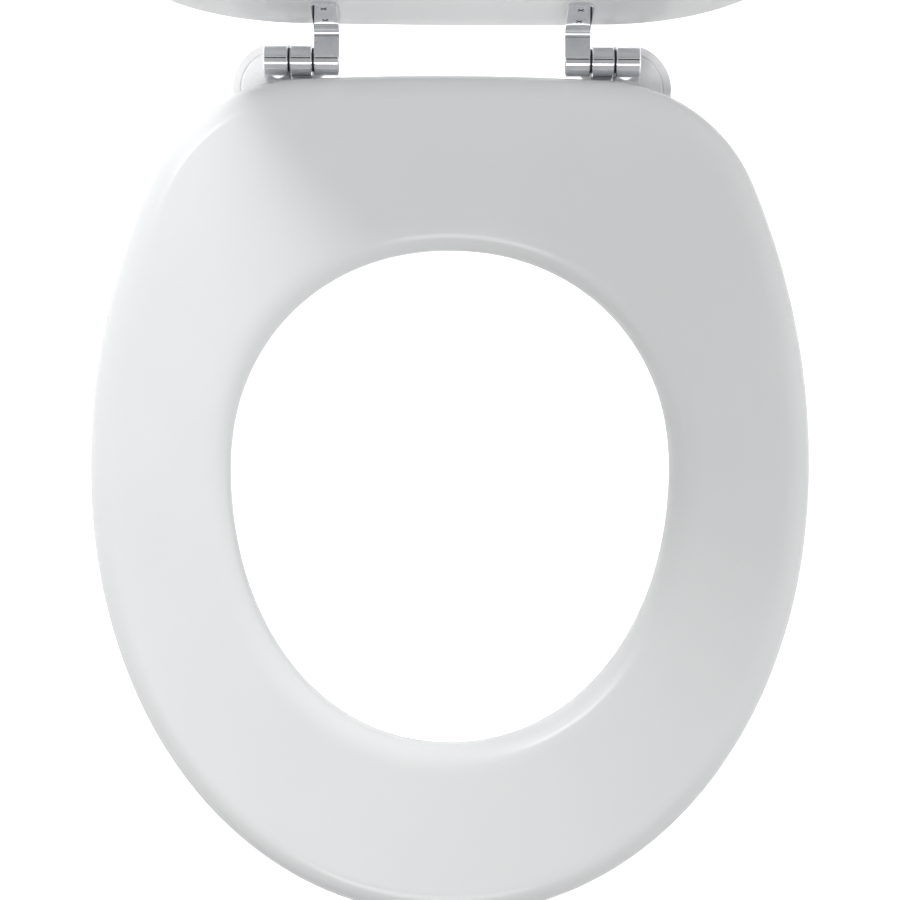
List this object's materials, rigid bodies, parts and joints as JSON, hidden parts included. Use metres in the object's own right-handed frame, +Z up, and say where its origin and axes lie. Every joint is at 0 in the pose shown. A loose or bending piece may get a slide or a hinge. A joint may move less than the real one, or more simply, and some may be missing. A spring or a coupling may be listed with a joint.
{
  "type": "toilet seat",
  "caption": "White lacquered wooden toilet seat and lid on chromed three-knuckle hinges, with the rods, washers and nuts that fix it to a bowl.",
  "frame": {"origin": "on the top face of the bowl's rim, midway between the two fixing rods and straight below the hinge axis", "axes": "+X to the right as one faces the standing lid, +Y back from the ring towards the lid, +Z up"},
  "size_m": [0.377, 0.5463, 0.562],
  "materials": {
    "lacquered_wood": "gloss white lacquer",
    "chrome": "polished",
    "steel": "dull plated",
    "translucent_plastic": "translucent, satin",
    "white_plastic": "satin",
    "black_plastic": "satin"
  },
  "bodies": {
    "root": {"left_post": "chrome", "right_post": "chrome", "left_hinge_pin": "steel", "right_hinge_pin": "steel", "left_outer_spacer": "black_plastic", "right_outer_spacer": "black_plastic", "left_inner_spacer": "black_plastic", "right_inner_spacer": "black_plastic", "left_base_disc": "translucent_plastic", "right_base_disc": "translucent_plastic", "left_fixing_rod": "steel", "right_fixing_rod": "steel", "left_small_cone": "white_plastic", "right_small_cone": "white_plastic", "left_large_cone": "white_plastic", "right_large_cone": "white_plastic", "left_penny_washer": "steel", "right_penny_washer": "steel", "left_spring_washer": "steel", "right_spring_washer": "steel", "left_nut": "steel", "right_nut": "steel"},
    "ring_body": {"ring": "lacquered_wood", "front_left_buffer": "white_plastic", "front_right_buffer": "white_plastic", "rear_left_buffer": "white_plastic", "rear_right_buffer": "white_plastic", "left_ring_hinge": "chrome", "right_ring_hinge": "chrome", "left_ring_screws": "steel", "right_ring_screws": "steel"},
    "lid_body": {"lid": "lacquered_wood", "left_lid_buffer": "white_plastic", "right_lid_buffer": "white_plastic", "left_lid_arm": "chrome", "right_lid_arm": "chrome", "left_lid_screws": "chrome", "right_lid_screws": "chrome"}
  },
  "joints": [
    {"name": "ring_hinge", "type": "hinge", "parent": "root", "child": "ring_body", "pos_m": [0, 0, 0.0145], "axis": [-1, 0, 0], "range_deg": [0, 98]},
    {"name": "lid_hinge", "type": "hinge", "parent": "root", "child": "lid_body", "pos_m": [0, 0, 0.0145], "axis": [-1, 0, 0], "range_deg": [-99, 0]}
  ]
}
